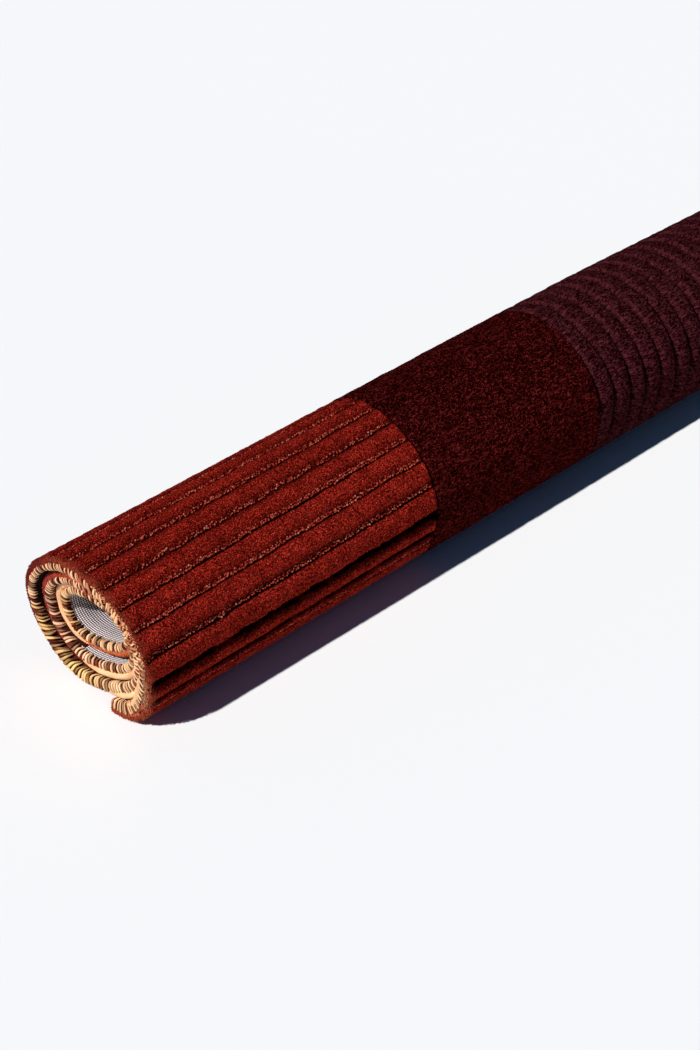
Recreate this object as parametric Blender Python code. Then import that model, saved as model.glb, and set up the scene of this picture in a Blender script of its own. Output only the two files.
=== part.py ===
# A tufted rug rolled up with its pile outwards, lying on its loose end, with whipped yarn on both ends.
# Metres, +Z up, +X along the roll; the end with the ribbed field is at -X.
import math
from collections import namedtuple

import bmesh
import bpy
import numpy as np

# Driving dimensions
ROLL_LENGTH = 1.000
RUG_LENGTH = 1.200
THICKNESS = 0.0134
RUST_FIELD_END = 0.361
HOOP_FIELD_START = 0.593

# The roll's section, seen along +X: where the middle of the layer turns, a row for each quarter of a turn,
# from the loose end inwards. The curve to the next row has its own fullness on leaving and on arriving;
# both are powers, and 2 makes an ellipse.
Quarter = namedtuple("Quarter", "side y z leaving arriving")
QUARTERS = [
    Quarter("floor", -0.0385, 0.0067, 2.20, 2.20),
    Quarter("front", -0.0825, 0.0785, 2.00, 2.00),
    Quarter("top", 0.0050, 0.1475, 1.80, 1.80),
    Quarter("back", 0.0823, 0.0795, 2.00, 2.00),
    Quarter("floor", 0.0200, 0.0067, 1.30, 2.50),
    Quarter("front", -0.0680, 0.0765, 2.05, 2.05),
    Quarter("top", -0.0050, 0.1305, 1.95, 1.95),
    Quarter("back", 0.0655, 0.0805, 2.15, 2.15),
    Quarter("floor", 0.0180, 0.0262, 1.30, 2.50),
    Quarter("front", -0.0537, 0.0785, 1.95, 1.95),
    Quarter("top", -0.0085, 0.1158, 1.95, 1.95),
    Quarter("back", 0.0508, 0.0810, 2.20, 2.20),
    Quarter("floor", 0.0210, 0.0458, 1.30, 2.50),
    Quarter("front", -0.0392, 0.0835, 2.00, 2.00),
    Quarter("top", -0.0110, 0.1005, 2.00, 2.00),
]
LOOSE_END_FLAT = 0.009
FLAT_SPOT_END = 0.007
PATH_STEP = 0.001
QUARTER_STEPS = 48

# The turns lie a little deeper the further in they are, the near end leans and the far part has settled
RECESS_PER_TURN = 0.0063
LEAN_ACROSS = -0.052
LEAN_UP = -0.038
LEAN_REACH = 0.200
LEAN_HEIGHT = 0.077
SETTLE_SHARE = 0.062

# Ribs of the rust field, which run along the roll; the seen grooves are not quite even
RIB_PITCH = 0.0225
FIRST_RIB_GROOVE = 0.0205
RIB_COUNT = 20
RIB_GROOVE_HALF_WIDTH = 0.0032
RIB_GROOVE_DEPTH = 0.0045
RIB_DRIFT = 0.009
RIB_DRIFT_FROM = 0.060
Shift = namedtuple("Shift", "groove by widened")
UNEVEN_GROOVES = [
    Shift(2, -0.0020, 1.0),
    Shift(3, -0.0070, 1.3),
    Shift(4, -0.0070, 1.4),
    Shift(5, -0.0010, 1.1),
]
SHOULDER_DROP = 0.0004

# Hoops of the plum field, which run round the roll
HOOP_PITCH = 0.0240
SETTLE_FROM = HOOP_FIELD_START + 4 * HOOP_PITCH
HOOP_GROOVE_HALF_WIDTH = 0.0028
HOOP_GROOVE_DEPTH = 0.0036
RELIEF_END = 0.470
RELIEF_FADE = 0.020

# Edges: the pile spreads past the canvas and is rounded, and the seam between fields is a shallow cut
PILE_EDGE = -0.0018
CANVAS_EDGE = 0.0060
PILE_EDGE_DROP = 0.0035
PILE_ROUND = 0.0030
SEAM_DROP = 0.0022
SEAM_HALF_WIDTH = 0.0030
LOOSE_EDGE_DROP = 0.0045
Step = namedtuple("Step", "across ribs drop")
PILE_EDGE_STEPS = [Step(0.0, 0.0, 1.0), Step(0.3, 0.0, 0.35), Step(1.0, 0.3, 0.0), Step(4.0, 1.0, 0.0)]
SEAM_STEPS = [Step(-2.0, 1.0, 0.0), Step(-0.5, 0.7, 0.4), Step(0.0, 0.3, 1.0), Step(1.0, 0.0, 0.0)]

# Whipped yarn on each end: a bead of D section, its back against the slanted end of the rug
BINDING_SIDES = 8
BINDING_HALF_HEIGHT = 0.0046
BINDING_HALF_WIDTH = 0.0036
BINDING_CENTRE_X = 0.0008
BINDING_CENTRE_N = -0.0022
BINDING_GAP = 0.0005

INNER_STEP = 0.0120
FLAT_ANGLE = math.radians(0.4)
SHARP_ANGLE = math.radians(35)

COLOURS = {
    "rust pile": (0.170, 0.012, 0.006, 1.0),
    "oxblood pile": (0.032, 0.003, 0.003, 1.0),
    "plum pile": (0.045, 0.006, 0.010, 1.0),
    "canvas": (0.330, 0.290, 0.290, 1.0),
    "whipped yarn": (0.560, 0.300, 0.120, 1.0),
}


def clear_scene():
    for item in list(bpy.data.objects):
        bpy.data.objects.remove(item, do_unlink=True)


def make_material(name):
    material = bpy.data.materials.new(name)
    material.use_nodes = True
    shader = material.node_tree.nodes["Principled BSDF"]
    shader.inputs["Base Color"].default_value = COLOURS[name]
    shader.inputs["Roughness"].default_value = 0.95
    shader.inputs["Metallic"].default_value = 0.0
    material.diffuse_color = COLOURS[name]
    return material


def quarter_point(start, end, index, share):
    """A point of the rounded corner between two rows; it leaves floor and top rows level."""
    angle = share * math.pi / 2
    rise = math.sin(angle) ** (2.0 / start.leaving)
    fall = math.cos(angle) ** (2.0 / start.arriving)
    if index % 2 == 0:
        return start.y + (end.y - start.y) * rise, end.z + (start.z - end.z) * fall
    return end.y + (start.y - end.y) * fall, start.z + (end.z - start.z) * rise


class Winding:
    """The middle line of the wound layer, by the distance from the loose end."""

    def __init__(self):
        first = QUARTERS[0]
        points = [(first.y + LOOSE_END_FLAT, first.z)]
        turns = [0.0]
        for index, (start, end) in enumerate(zip(QUARTERS[:-1], QUARTERS[1:])):
            for step in range(QUARTER_STEPS):
                points.append(quarter_point(start, end, index, step / QUARTER_STEPS))
                turns.append((index + step / QUARTER_STEPS) / 4)
        points.append((QUARTERS[-1].y, QUARTERS[-1].z))
        turns.append((len(QUARTERS) - 1) / 4)
        line = np.array(points)
        along = np.concatenate([[0.0], np.cumsum(np.hypot(*np.diff(line, axis=0).T))])
        self.s = np.arange(0.0, RUG_LENGTH + PATH_STEP / 2, PATH_STEP)
        self.y = np.interp(self.s, along, line[:, 0])
        self.z = np.interp(self.s, along, line[:, 1])
        self.turn = np.interp(self.s, along, turns)
        run_y = np.gradient(self.y)
        run_z = np.gradient(self.z)
        size = np.hypot(run_y, run_z)
        self.out_y = -run_z / size
        self.out_z = run_y / size

    def place(self, x, s, n):
        """Rolls up a point of the flat rug: x across it, s from the loose end, n out from the middle."""
        y = float(np.interp(s, self.s, self.y))
        z = float(np.interp(s, self.s, self.z))
        out_y = float(np.interp(s, self.s, self.out_y))
        out_z = float(np.interp(s, self.s, self.out_z))
        turn = float(np.interp(s, self.s, self.turn))
        nearness = min(max(1.0 - x / LEAN_REACH, 0.0), 1.0)
        lean = LEAN_ACROSS * y + LEAN_UP * (z - LEAN_HEIGHT)
        shift = RECESS_PER_TURN * turn + nearness * lean
        settle = SETTLE_SHARE * max(x - SETTLE_FROM, 0.0) / (ROLL_LENGTH - SETTLE_FROM)
        return x + shift, y + out_y * n, (z + out_z * n) * (1.0 - settle)


def rib_grooves():
    """Distance from the loose end and widening of every groove between the ribs."""
    grooves = []
    for index in range(RIB_COUNT):
        uneven = next((row for row in UNEVEN_GROOVES if row.groove == index), Shift(index, 0.0, 1.0))
        grooves.append((FIRST_RIB_GROOVE + index * RIB_PITCH + uneven.by, uneven.widened))
    return grooves


def stations():
    """Rows of the sheet along the winding: distance, groove depth there, and drop of the pile's edge."""
    rows = [(0.0, 0.0, LOOSE_EDGE_DROP), (PILE_ROUND, 0.0, 0.0), (FLAT_SPOT_END, 0.0, 0.0)]
    for s, widened in rib_grooves():
        half = RIB_GROOVE_HALF_WIDTH * widened
        rows.append((s - half, SHOULDER_DROP, 0.0))
        rows.append((s, RIB_GROOVE_DEPTH * widened, 0.0))
        rows.append((s + half, SHOULDER_DROP, 0.0))
    start = rows[-1][0]
    end = RUG_LENGTH - PILE_ROUND
    count = round((end - start) / INNER_STEP)
    for step in range(1, count + 1):
        rows.append((start + (end - start) * step / count, 0.0, 0.0))
    rows.append((RUG_LENGTH, 0.0, LOOSE_EDGE_DROP))
    return rows


def columns():
    """Lines of the sheet across the rug: x, share of the rib grooves, hoop groove depth, drop of the edge."""
    rows = [
        (PILE_EDGE + step.across * PILE_ROUND, step.ribs, 0.0, step.drop * PILE_EDGE_DROP)
        for step in PILE_EDGE_STEPS
    ]
    for step in SEAM_STEPS:
        x = RUST_FIELD_END + step.across * SEAM_HALF_WIDTH
        rows.append((x, step.ribs, 0.0, step.drop * SEAM_DROP))
    for index in range(int((ROLL_LENGTH - HOOP_FIELD_START) / HOOP_PITCH)):
        x = HOOP_FIELD_START + index * HOOP_PITCH
        rows.append((x - HOOP_GROOVE_HALF_WIDTH, 0.0, SHOULDER_DROP, 0.0))
        rows.append((x, 0.0, HOOP_GROOVE_DEPTH, 0.0))
        rows.append((x + HOOP_GROOVE_HALF_WIDTH, 0.0, SHOULDER_DROP, 0.0))
    for step in PILE_EDGE_STEPS[2::-1]:
        x = ROLL_LENGTH - PILE_EDGE - step.across * PILE_ROUND
        rows.append((x, 0.0, 0.0, step.drop * PILE_EDGE_DROP))
    return rows


def drifted(s, x):
    """The ribs run slightly askew: their distance from the loose end grows along the rust field."""
    ramp_in = min(max(s / RIB_DRIFT_FROM, 0.0), 1.0)
    ramp_out = min(max((RUG_LENGTH - s) / (RUG_LENGTH - RELIEF_END), 0.0), 1.0)
    return s + RIB_DRIFT * (min(x / RUST_FIELD_END, 1.0) - 0.5) * ramp_in * ramp_out


def field_material(x):
    if x < RUST_FIELD_END:
        return 0
    if x < HOOP_FIELD_START - HOOP_GROOVE_HALF_WIDTH:
        return 1
    return 2


def make_rug(winding, collection):
    """The rug is a flat slab whose pile side carries ribs and hoops; its points are then wound up."""
    rows = stations()
    lines = columns()
    bm = bmesh.new()
    bmesh.ops.create_grid(bm, x_segments=len(lines) - 1, y_segments=len(rows) - 1, size=0.5)
    sheet = bmesh.ops.extrude_face_region(bm, geom=bm.faces[:])
    for vert in [item for item in sheet["geom"] if isinstance(item, bmesh.types.BMVert)]:
        vert.co.z = 1.0
    for face in bm.faces:
        centre = face.calc_center_median()
        line = min(int((centre.x + 0.5) * (len(lines) - 1)), len(lines) - 2)
        face.material_index = field_material((lines[line][0] + lines[line + 1][0]) / 2)
        if centre.z < 0.01:
            face.material_index = 3
    canvas_share = (ROLL_LENGTH - 2 * CANVAS_EDGE) / (ROLL_LENGTH - 2 * PILE_EDGE)
    for vert in bm.verts:
        x, rib_share, hoop_depth, edge_drop = lines[round((vert.co.x + 0.5) * (len(lines) - 1))]
        s, rib_depth, end_drop = rows[round((vert.co.y + 0.5) * (len(rows) - 1))]
        n = -THICKNESS / 2
        if vert.co.z > 0.5:
            fade = min(max((RELIEF_END - s) / RELIEF_FADE, 0.0), 1.0)
            n = THICKNESS / 2 - max(rib_share * rib_depth, hoop_depth * fade, edge_drop, end_drop)
        else:
            x = CANVAS_EDGE + (x - PILE_EDGE) * canvas_share
        vert.co = winding.place(x, drifted(s, x), n)
    face_outwards(bm)
    bmesh.ops.dissolve_limit(
        bm, angle_limit=FLAT_ANGLE, verts=bm.verts[:], edges=bm.edges[:], delimit={"MATERIAL"}
    )
    bmesh.ops.triangulate(bm, faces=bm.faces[:])
    mesh = bpy.data.meshes.new("rug")
    bm.to_mesh(mesh)
    bm.free()
    for name in ("rust pile", "oxblood pile", "plum pile", "canvas"):
        mesh.materials.append(make_material(name))
    mesh.shade_smooth()
    mesh.set_sharp_from_angle(angle=SHARP_ANGLE)
    rug = bpy.data.objects.new("rug", mesh)
    collection.objects.link(rug)
    return rug


def face_outwards(bm):
    bmesh.ops.recalc_face_normals(bm, faces=bm.faces)
    if bm.calc_volume(signed=True) < 0:
        bmesh.ops.reverse_faces(bm, faces=bm.faces[:])


def binding_section(vert_angle):
    """A point of the bead's D section: x in from the rug's edge and n out from its middle."""
    x = BINDING_CENTRE_X - BINDING_HALF_WIDTH * math.cos(vert_angle)
    n = BINDING_CENTRE_N + BINDING_HALF_HEIGHT * math.sin(vert_angle)
    pile_edge_n = THICKNESS / 2 - PILE_EDGE_DROP
    slant = (CANVAS_EDGE - PILE_EDGE) / (pile_edge_n + THICKNESS / 2)
    back = PILE_EDGE + (pile_edge_n - n) * slant - BINDING_GAP
    # the bead leans with the slanted end and is flat where it meets it
    x = x + (BINDING_CENTRE_N - n) * slant + slant * (pile_edge_n - BINDING_CENTRE_N) / 2
    return min(x, back), n


def make_binding(name, winding, collection, far_end):
    """A long prism is cut where the rug has its rows, groove bottoms apart, and bent round the winding."""
    steps = [s for s, rib_depth, _ in stations()[1:-1] if rib_depth <= SHOULDER_DROP]
    bm = bmesh.new()
    bmesh.ops.create_cone(
        bm, cap_ends=True, segments=BINDING_SIDES, radius1=1.0, radius2=1.0, depth=1.0
    )
    long_edges = [edge for edge in bm.edges if abs(edge.verts[0].co.z - edge.verts[1].co.z) > 0.5]
    bmesh.ops.subdivide_edges(bm, edges=long_edges, cuts=len(steps) - 2)
    for vert in bm.verts:
        x, n = binding_section(math.atan2(vert.co.y, vert.co.x))
        if far_end:
            x = ROLL_LENGTH - x
        s = steps[round((vert.co.z + 0.5) * (len(steps) - 1))]
        vert.co = winding.place(x, drifted(s, x), n)
    face_outwards(bm)
    bmesh.ops.triangulate(bm, faces=bm.faces[:])
    mesh = bpy.data.meshes.new(name)
    bm.to_mesh(mesh)
    bm.free()
    mesh.materials.append(make_material("whipped yarn"))
    mesh.shade_smooth()
    binding = bpy.data.objects.new(name, mesh)
    collection.objects.link(binding)
    return binding


def stand_on_origin(pieces, collection):
    """An empty carries the pieces so that the middle of their box, on the floor, is the origin."""
    corners = np.array([vert.co[:] for piece in pieces for vert in piece.data.vertices])
    low, high = corners.min(axis=0), corners.max(axis=0)
    roll = bpy.data.objects.new("roll", None)
    roll.location = (-(low[0] + high[0]) / 2, -(low[1] + high[1]) / 2, -low[2])
    collection.objects.link(roll)
    for piece in pieces:
        piece.parent = roll


def main():
    clear_scene()
    collection = bpy.data.collections.new("rolled_rug")
    bpy.context.scene.collection.children.link(collection)
    winding = Winding()
    pieces = [
        make_rug(winding, collection),
        make_binding("near_binding", winding, collection, far_end=False),
        make_binding("far_binding", winding, collection, far_end=True),
    ]
    stand_on_origin(pieces, collection)
    bpy.context.view_layer.update()


main()
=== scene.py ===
import math

import bmesh
import bpy
import numpy as np
from mathutils import Matrix, Vector


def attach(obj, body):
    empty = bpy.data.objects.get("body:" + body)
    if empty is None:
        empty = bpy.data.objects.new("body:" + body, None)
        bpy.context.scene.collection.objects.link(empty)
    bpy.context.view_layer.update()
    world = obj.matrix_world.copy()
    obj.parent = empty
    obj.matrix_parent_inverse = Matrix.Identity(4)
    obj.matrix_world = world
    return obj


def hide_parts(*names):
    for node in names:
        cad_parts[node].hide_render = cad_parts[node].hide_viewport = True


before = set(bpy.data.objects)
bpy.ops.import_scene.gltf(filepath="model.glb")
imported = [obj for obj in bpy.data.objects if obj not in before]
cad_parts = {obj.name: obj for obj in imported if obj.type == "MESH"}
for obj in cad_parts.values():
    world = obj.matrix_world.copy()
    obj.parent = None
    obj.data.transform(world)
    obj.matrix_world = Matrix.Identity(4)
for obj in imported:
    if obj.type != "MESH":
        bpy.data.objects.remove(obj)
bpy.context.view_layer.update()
print("frame loaded")

# the quarters are where the middle of the layer passes the floor, front, top and back of each turn, from the
# loose end inwards: y, z and the fullness of the curve on leaving and arriving
roll = {
    "quarters": [
        (-0.0385, 0.0067, 2.2, 2.2),
        (-0.0825, 0.0785, 2.0, 2.0),
        (0.005, 0.1475, 1.8, 1.8),
        (0.0823, 0.0795, 2.0, 2.0),
        (0.02, 0.0067, 1.3, 2.5),
        (-0.068, 0.0765, 2.05, 2.05),
        (-0.005, 0.1305, 1.95, 1.95),
        (0.0655, 0.0805, 2.15, 2.15),
        (0.018, 0.0262, 1.3, 2.5),
        (-0.0537, 0.0785, 1.95, 1.95),
        (-0.0085, 0.1158, 1.95, 1.95),
        (0.0508, 0.081, 2.2, 2.2),
        (0.021, 0.0458, 1.3, 2.5),
        (-0.0392, 0.0835, 2.0, 2.0),
        (-0.011, 0.1005, 2.0, 2.0),
    ],
    "quarterSteps": 48,
    "pathStep": 0.001,
    "length": 1.0,
    "rugLength": 1.2,  # along the wound edge
    "halfThickness": 0.0067,
    "looseEndFlat": 0.009,
    "recessPerTurn": 0.0063,  # inner turns lie further along the roll
    "leanAcross": -0.052,  # the near end is not quite square
    "leanUp": -0.038,
    "leanReach": 0.2,
    "leanHeight": 0.077,
    "settleShare": 0.062,  # the far end lies a little lower
    "settleFrom": 0.689,
    "ribDrift": 0.009,
    "ribDriftFrom": 0.06,
    "rustEnd": 0.361,  # oxblood starts here
    "hoopStart": 0.593,  # plum starts here
    "reliefEnd": 0.47,  # further in, the outer turn goes under the next one
    "place": (-0.509751, 0.000106, 0.0),
}


def ramp(distance, length):
    # grows from 0 to 1 over a length
    return np.clip(distance / length, 0, 1)


def falloff(distance, reach, top=1):
    # falls to 0 over a reach; a top over 1 keeps it full for longer
    return np.clip(top - distance / reach, 0, 1)


def atLeast(low, share):
    # a share from 0 to 1, lifted to start at low
    return low + (1 - low) * share


def quarterPoint(start, end, index, share):
    angle = share * math.pi / 2
    rise = math.sin(angle) ** (2.0 / start[2])
    fall = math.cos(angle) ** (2.0 / start[3])
    if index % 2 == 0:
        return start[0] + (end[0] - start[0]) * rise, end[1] + (start[1] - end[1]) * fall
    return end[0] + (start[0] - end[0]) * fall, start[1] + (end[1] - start[1]) * rise


def layOutPath():
    rows = roll["quarters"]
    points = [(rows[0][0] + roll["looseEndFlat"], rows[0][1])]
    turns = [0.0]
    for index in range(len(rows) - 1):
        for step in range(roll["quarterSteps"]):
            share = step / roll["quarterSteps"]
            points.append(quarterPoint(rows[index], rows[index + 1], index, share))
            turns.append((index + share) / 4)
    points.append(rows[-1][:2])
    turns.append((len(rows) - 1) / 4)
    line = np.array(points)
    along = np.concatenate([[0.0], np.cumsum(np.hypot(*np.diff(line, axis=0).T))])
    s = np.arange(0.0, roll["rugLength"] + roll["pathStep"] / 2, roll["pathStep"])
    y = np.interp(s, along, line[:, 0])
    z = np.interp(s, along, line[:, 1])
    turn = np.interp(s, along, turns)
    size = np.hypot(np.gradient(y), np.gradient(z))
    return {"s": s, "y": y, "z": z, "turn": turn,
            "outY": -np.gradient(z) / size, "outZ": np.gradient(y) / size}


path = layOutPath()


def drifted(s, x):
    # the ribs run slightly askew, so the distance from the loose end grows along the rust field
    rampIn = ramp(s, roll["ribDriftFrom"])
    rampOut = ramp(roll["rugLength"] - s, roll["rugLength"] - roll["reliefEnd"])
    return s + roll["ribDrift"] * (np.minimum(x / roll["rustEnd"], 1) - 0.5) * rampIn * rampOut


def windUp(flat):
    # flat points are x across the rug, s from the loose end and n out from the middle of the layer
    x, n = flat[:, 0], flat[:, 2]
    s = drifted(flat[:, 1], x)
    held = np.clip(s, 0, roll["rugLength"])
    past = s - held
    keys = ("y", "z", "turn", "outY", "outZ")
    y, z, turn, outY, outZ = (np.interp(held, path["s"], path[key]) for key in keys)
    lean = roll["leanAcross"] * y + roll["leanUp"] * (z - roll["leanHeight"])
    shift = roll["recessPerTurn"] * turn + falloff(x, roll["leanReach"]) * lean
    beyond = np.maximum(x - roll["settleFrom"], 0) / (roll["length"] - roll["settleFrom"])
    y = y + outY * n + outZ * past
    z = (z + outZ * n - outY * past) * (1 - roll["settleShare"] * beyond)
    return np.stack([x + shift, y, np.maximum(z, 0.0)], axis=1) + np.array(roll["place"])


def wander(values, step, seed):
    # a smooth line between -1 and 1 that turns about every step
    knots = np.random.default_rng(seed).uniform(-1, 1, 4000)
    place = values / step + len(knots) / 2
    low = np.floor(place).astype(int)
    share = place - low
    share = share * share * (3 - 2 * share)
    return knots[low % len(knots)] * (1 - share) + knots[(low + 1) % len(knots)] * share


def valueAt(s, rows, column):
    # rows start with a distance from the loose end
    return np.interp(s, [row[0] for row in rows], [row[column] for row in rows])


def colourAt(s, rows, column):
    places = [row[0] for row in rows]
    return np.stack([np.interp(s, places, [row[column][part] for row in rows]) for part in range(3)], axis=-1)


# the mesh of a piece

def readPoints(piece):
    points = np.empty(len(piece.data.vertices) * 3)
    piece.data.vertices.foreach_get("co", points)
    return points.reshape(-1, 3)


def writePoints(piece, points):
    piece.data.vertices.foreach_set("co", np.asarray(points, dtype=np.float32).ravel())
    piece.data.update()


def pick(pieces):
    bpy.ops.object.select_all(action="DESELECT")
    for piece in pieces:
        piece.select_set(True)
        bpy.context.view_layer.objects.active = piece


def editMode(piece):
    pick([piece])
    bpy.ops.object.mode_set(mode="EDIT")


def objectMode():
    bpy.ops.object.mode_set(mode="OBJECT")


def flatGrid(name, columns, rows):
    pick([])
    bpy.ops.mesh.primitive_grid_add(x_subdivisions=len(columns) - 1, y_subdivisions=len(rows) - 1, size=1)
    piece = bpy.context.object
    piece.name = name
    piece.data.name = name
    points = readPoints(piece)
    column = np.rint((points[:, 0] + 0.5) * (len(columns) - 1)).astype(int)
    row = np.rint((points[:, 1] + 0.5) * (len(rows) - 1)).astype(int)
    writePoints(piece, np.stack([columns[column], rows[row], np.zeros(len(column))], axis=1))
    points = readPoints(piece)
    return piece, points, points[:, 0], points[:, 1]


def takeShape():
    # the points and faces of the new shape, which is then copied
    shape = bpy.context.object
    points = readPoints(shape)
    faces = [list(polygon.vertices) for polygon in shape.data.polygons]
    bpy.data.objects.remove(shape)
    return points, faces


def writeMap(piece):
    # the piece's own map is its flat place on the rug, in metres
    layer = piece.data.uv_layers[0]
    layer.name = "flat"
    points = readPoints(piece)
    corners = np.empty(len(piece.data.loops), dtype=np.int32)
    piece.data.loops.foreach_get("vertex_index", corners)
    layer.data.foreach_set("uv", points[corners][:, :2].astype(np.float32).ravel())


def writeShare(piece, name, values):
    layer = piece.data.attributes.new(name, "FLOAT", "POINT")
    layer.data.foreach_set("value", values.astype(np.float32))


def writeColour(piece, name, shades):
    layer = piece.data.attributes.new(name, "FLOAT_COLOR", "POINT")
    shades = np.column_stack([shades, np.ones(len(shades))])
    layer.data.foreach_set("color", shades.astype(np.float32).ravel())


def finishPiece(piece, material):
    if piece.data.uv_layers:
        writeMap(piece)
    writePoints(piece, windUp(readPoints(piece)))
    piece.data.materials.append(material)
    piece.data.shade_smooth()
    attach(piece, "root")
    print(piece.name, len(piece.data.vertices), "points")
    return piece


# what the materials share

def newMaterial(name, finish):
    material = bpy.data.materials.new(name)
    material.use_nodes = True
    shader = material.node_tree.nodes["Principled BSDF"]
    shader.inputs["Roughness"].default_value = finish["roughness"]
    shader.inputs["Specular IOR Level"].default_value = finish["gloss"]
    return material, material.node_tree, shader


def feed(tree, socket, value):
    # a number or a colour is set, and anything else is linked
    if isinstance(value, (int, float)):
        socket.default_value = value
    elif isinstance(value, tuple):
        socket.default_value = (*value, 1)
    else:
        tree.links.new(value, socket)


def addNode(tree, kind, **values):
    node = tree.nodes.new("ShaderNode" + kind)
    for name, value in values.items():
        feed(tree, node.inputs[name], value)
    return node


def addRamp(tree, source, stops):
    node = addNode(tree, "ValToRGB", Fac=source)
    while len(node.color_ramp.elements) < len(stops):
        node.color_ramp.elements.new(0.5)
    for element, (position, colour) in zip(node.color_ramp.elements, stops):
        element.position = position
        element.color = (*colour, 1)
    return node.outputs["Color"]


def addMath(tree, operation, first, second=0, clamp=False):
    node = addNode(tree, "Math")
    node.operation = operation
    node.use_clamp = clamp
    feed(tree, node.inputs[0], first)
    feed(tree, node.inputs[1], second)
    return node.outputs[0]


def times(tree, first, second, clamp=False):
    return addMath(tree, "MULTIPLY", first, second, clamp)


def addShares(tree, first, firstShare, second, secondShare):
    # the sum of two values, each times its share
    return addMath(tree, "ADD", times(tree, first, firstShare), times(tree, second, secondShare))


def addMix(tree, blend, share, first, second):
    node = addNode(tree, "Mix")
    node.data_type = "RGBA"
    node.blend_type = blend
    feed(tree, node.inputs[0], share)
    feed(tree, node.inputs[6], first)
    feed(tree, node.inputs[7], second)
    return node.outputs[2]


def addNoise(tree, place, scale, detail, distortion=0.0):
    node = addNode(tree, "TexNoise", Vector=place, Scale=scale, Detail=detail, Distortion=distortion)
    return node.outputs["Fac"]


def addPlace(tree):
    return addNode(tree, "TexCoord").outputs["Object"]


def addFlatMap(tree):
    node = addNode(tree, "UVMap")
    node.uv_map = "flat"
    return node.outputs["UV"]


def addAttribute(tree, name, output):
    node = addNode(tree, "Attribute")
    node.attribute_name = name
    return node.outputs[output]


def addBump(tree, shader, height, strength, distance):
    node = addNode(tree, "Bump", Height=height, Strength=strength, Distance=distance)
    feed(tree, shader.inputs["Normal"], node.outputs["Normal"])


# the canvas

canvas = {"from": -0.0067, "to": -0.0047, "inset": 0.004, "rowStep": 0.0026, "columnStep": 0.012,
          "thread": 0.0024, "threadRound": 0.7, "threadShare": 0.8, "fibre": 900, "fibreShare": 0.25,
          "roughness": 0.9, "gloss": 0.5, "bump": 0.0006, "bumpStrength": 0.3,
          "tones": [(0.34, (0.006, 0.005, 0.005)), (0.56, (0.2, 0.155, 0.15)), (0.78, (0.92, 0.8, 0.79))]}


def canvasMaterial():
    material, tree, shader = newMaterial("greyCanvas", canvas)
    split = addNode(tree, "SeparateXYZ", Vector=addFlatMap(tree))
    threads = []
    for axis in ("X", "Y"):
        count = times(tree, split.outputs[axis], 1 / canvas["thread"])
        wave = addMath(tree, "SINE", times(tree, count, math.pi))
        threads.append(addMath(tree, "ABSOLUTE", wave))
    weave = addMath(tree, "POWER", times(tree, *threads), canvas["threadRound"])
    fibre = addNoise(tree, addPlace(tree), canvas["fibre"], 3)
    tone = addShares(tree, weave, canvas["threadShare"], fibre, canvas["fibreShare"])
    feed(tree, shader.inputs["Base Color"], addRamp(tree, tone, canvas["tones"]))
    addBump(tree, shader, weave, canvas["bumpStrength"], canvas["bump"])
    return material


def makeCanvas():
    ends = canvas["inset"], roll["length"] - canvas["inset"]
    columns = np.linspace(*ends, round(roll["length"] / canvas["columnStep"]) + 1)
    rows = np.linspace(0, roll["rugLength"], round(roll["rugLength"] / canvas["rowStep"]) + 1)
    piece = flatGrid("canvasBacking", columns, rows)[0]
    thickness = canvas["to"] - canvas["from"]
    editMode(piece)
    bpy.ops.mesh.select_all(action="SELECT")
    bpy.ops.mesh.extrude_region_move(TRANSFORM_OT_translate={"value": (0, 0, thickness)})
    bpy.ops.mesh.select_all(action="SELECT")
    bpy.ops.transform.translate(value=(0, 0, canvas["from"]))
    bpy.ops.mesh.normals_make_consistent(inside=False)
    objectMode()
    return finishPiece(piece, canvasMaterial())


# the pile

pile = {"edge": -0.0018, "foot": -0.005, "deepest": -0.004, "rowStep": 0.0015, "columnStep": 0.0015,
        "looseDrop": 0.0045, "looseRound": 0.003, "looseRows": (0.0, 0.0007, 0.0016, 0.003),
        "edgeFrom": (0.0, 0.02, 0.055, 0.11, 0.37, 0.4, 0.52, 0.56),
        "edgeDrop": (0.0024, 0.0066, 0.011, 0.0042, 0.0035, 0.0058, 0.0058, 0.0035),
        "edgeRound": (0.0036, 0.0062, 0.008, 0.0042, 0.0036, 0.008, 0.008, 0.0036),
        "edgePower": 2.2, "edgeColumns": (0.0, 0.0006, 0.0013),
        "seamDrop": 0.0022, "seamRound": 0.003, "seamLine": 0.0011,
        "lowSeam": (0.26, 0.08), "lowSeamDrop": 0.0016,
        "grainShare": 0.85, "cellShare": -0.35, "patchShare": 0.16, "lift": 0.095, "litFrom": 0.42,
        "litGain": 5.0, "strandBase": 0.4, "strandLit": 0.6, "strandCurl": 0.8, "tintBase": 0.35,
        "grainHeight": 0.8, "strandHeight": 0.6, "cellHeight": 0.6, "roughness": 0.95, "gloss": 0.0}
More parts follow.
